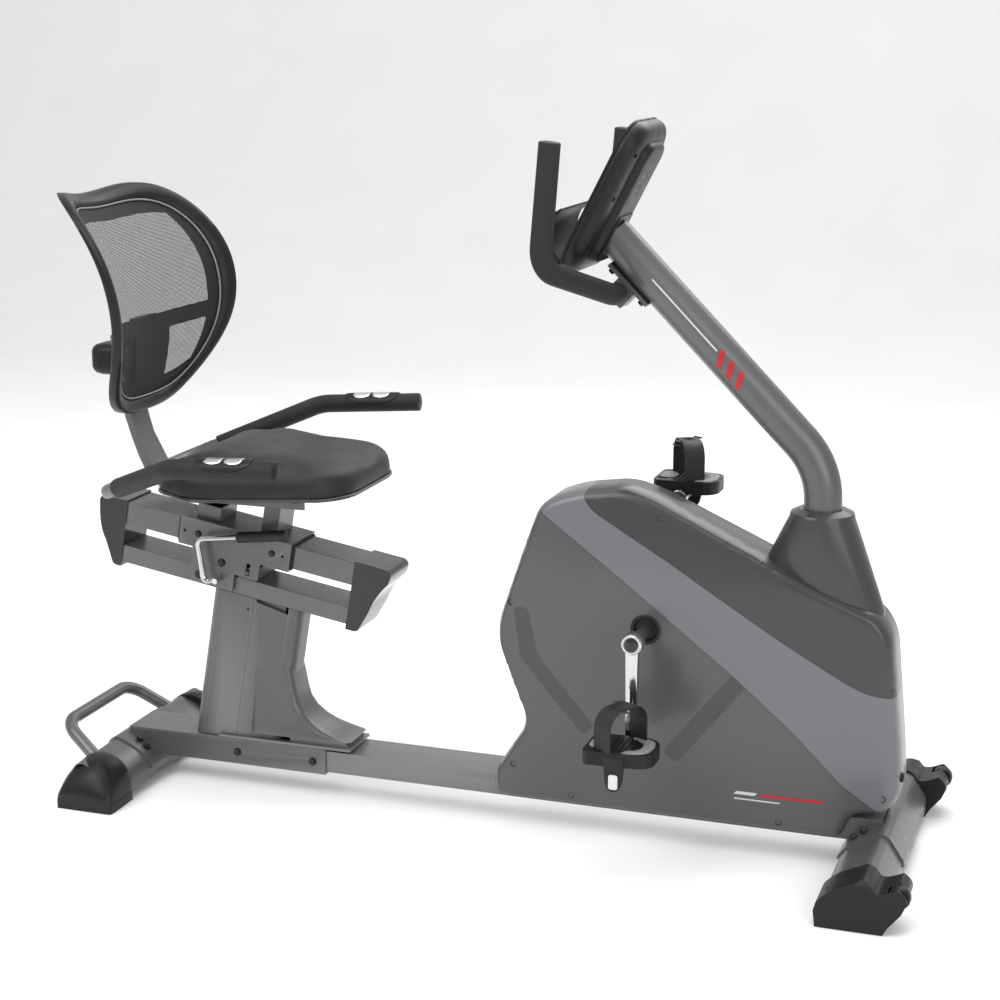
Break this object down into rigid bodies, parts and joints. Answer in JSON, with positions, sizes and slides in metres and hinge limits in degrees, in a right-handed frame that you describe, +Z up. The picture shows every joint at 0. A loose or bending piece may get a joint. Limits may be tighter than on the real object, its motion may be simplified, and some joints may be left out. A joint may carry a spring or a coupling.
{
  "type": "recumbent exercise bike",
  "caption": "Recumbent exercise bike with a low step-through beam, sliding bucket seat with mesh backrest, side grips, enclosed belt drive and a console on a bent post.",
  "frame": {"origin": "on the floor, under the middle of the bike's length and width", "axes": "+X from the seat towards the console end, +Y to the seated rider's left, +Z up"},
  "size_m": [1.5145, 0.643, 1.1694],
  "materials": {
    "frame_paint": "fine metallic powder coat, dark grey",
    "shroud_plastic": "moulded plastic, dark grey, semi gloss",
    "cover_plastic": "moulded plastic, darker grey, semi gloss",
    "stripe_plastic": "moulded plastic, light bluish grey, fine grain",
    "black_plastic": "moulded plastic, black, fine grain",
    "button_plastic": "moulded keys",
    "screen": "screen window",
    "grip_foam": "closed cell foam",
    "strap_rubber": "moulded rubber",
    "belt_rubber": "rubber",
    "bolt_black": "black oxide",
    "dark_steel": "painted steel",
    "steel": "turned steel",
    "crank_chrome": "polished",
    "sensor_steel": "brushed",
    "flywheel_iron": "turned cast iron",
    "seat_vinyl": "black grained vinyl",
    "back_mesh": "open polyester mesh, black"
  },
  "bodies": {
    "root": {"front_beam": "frame_paint", "rear_beam": "frame_paint", "rear_stabiliser": "frame_paint", "front_stabiliser": "frame_paint", "rear_feet": "black_plastic", "front_feet": "black_plastic", "transport_handle": "frame_paint", "seat_column": "frame_paint", "column_cover_front": "frame_paint", "column_cover_rear": "frame_paint", "upper_rail": "frame_paint", "lower_rail": "frame_paint", "rail_caps": "black_plastic", "drive_frame": "dark_steel", "shroud_right": "shroud_plastic", "shroud_left": "shroud_plastic", "side_trims": "stripe_plastic", "top_cover": "cover_plastic", "post_cone": "shroud_plastic", "post_tube": "frame_paint", "console_back": "black_plastic", "console_face": "black_plastic", "console_screen": "screen", "tablet_ledge": "black_plastic", "handlebar_clamp": "dark_steel", "front_handlebar": "frame_paint", "front_grips": "grip_foam", "power_inlet": "black_plastic", "crank_bearings": "steel", "drive_belt": "belt_rubber", "resistance_motor": "black_plastic", "frame_bolts": "bolt_black", "shroud_screws": "bolt_black"},
    "crankset": {"crank_axle": "steel", "drive_pulley": "black_plastic", "crank_arms": "crank_chrome"},
    "pedal_right": {"pedal_right": "black_plastic", "strap_right": "strap_rubber"},
    "pedal_left": {"pedal_left": "black_plastic", "strap_left": "strap_rubber"},
    "flywheel": {"flywheel": "flywheel_iron"},
    "magnet_arm": {"magnet_bracket": "steel"},
    "carriage": {"carriage_sleeve": "frame_paint", "sleeve_bushings": "black_plastic", "seat_bracket": "black_plastic", "seat_cushion": "seat_vinyl", "backrest_bar": "frame_paint", "backrest_frame": "black_plastic", "backrest_mesh": "back_mesh", "seat_handlebar": "frame_paint", "seat_grips": "grip_foam", "pulse_sensors": "sensor_steel"},
    "seat_lever": {"seat_lever": "crank_chrome", "lever_grip": "black_plastic"},
    "lock_pawl": {"lock_pawl": "dark_steel"},
    "wheel_right": {"wheel_right": "belt_rubber"},
    "wheel_left": {"wheel_left": "belt_rubber"},
    "button_up": {"button_up": "button_plastic"},
    "button_down": {"button_down": "button_plastic"},
    "button_start": {"button_start": "button_plastic"}
  },
  "joints": [
    {"name": "crank_spin", "type": "hinge", "parent": "root", "child": "crankset", "pos_m": [0.298, 0, 0.369], "axis": [0, 1, 0], "continuous": true},
    {"name": "pedal_right_spin", "type": "hinge", "parent": "crankset", "child": "pedal_right", "pos_m": [0.298, -0.2, 0.199], "axis": [0, 1, 0], "continuous": true},
    {"name": "pedal_left_spin", "type": "hinge", "parent": "crankset", "child": "pedal_left", "pos_m": [0.298, 0.2, 0.539], "axis": [0, 1, 0], "continuous": true},
    {"name": "flywheel_spin", "type": "hinge", "parent": "root", "child": "flywheel", "pos_m": [0.5, 0, 0.265], "axis": [0, 1, 0], "continuous": true},
    {"name": "magnet_swing", "type": "hinge", "parent": "root", "child": "magnet_arm", "pos_m": [0.52223, -0.005, 0.13894], "axis": [0, -1, 0], "range_deg": [0, 6]},
    {"name": "seat_slide", "type": "slide", "parent": "root", "child": "carriage", "axis": [0.9857, 0, -0.1685], "range_m": [-0.095, 0.1]},
    {"name": "seat_lever_lift", "type": "hinge", "parent": "carriage", "child": "seat_lever", "pos_m": [-0.462, -0.055, 0.381], "axis": [0, -1, 0], "range_deg": [0, 18], "stiffness_Nm_per_rad": 2, "springref_deg": -17.19},
    {"name": "lock_lift", "type": "slide", "parent": "carriage", "child": "lock_pawl", "axis": [0.1685, 0, 0.9857], "range_m": [0, 0.012]},
    {"name": "wheel_right_spin", "type": "hinge", "parent": "root", "child": "wheel_right", "pos_m": [0.742, -0.256, 0.057], "axis": [0, 1, 0], "continuous": true},
    {"name": "wheel_left_spin", "type": "hinge", "parent": "root", "child": "wheel_left", "pos_m": [0.742, 0.256, 0.057], "axis": [0, 1, 0], "continuous": true},
    {"name": "button_up_press", "type": "slide", "parent": "root", "child": "button_up", "axis": [0.891, 0, -0.454], "range_m": [0, 0.001], "stiffness_N_per_m": 400, "springref_m": -0.001},
    {"name": "button_down_press", "type": "slide", "parent": "root", "child": "button_down", "axis": [0.891, 0, -0.454], "range_m": [0, 0.001], "stiffness_N_per_m": 400, "springref_m": -0.001},
    {"name": "button_start_press", "type": "slide", "parent": "root", "child": "button_start", "axis": [0.891, 0, -0.454], "range_m": [0, 0.001], "stiffness_N_per_m": 400, "springref_m": -0.001}
  ],
  "couplings": [
    {"joint": "flywheel_spin", "follows": "crank_spin", "ratio": 7},
    {"joint": "lock_lift", "follows": "seat_lever_lift", "m_per_rad": 0.038}
  ]
}
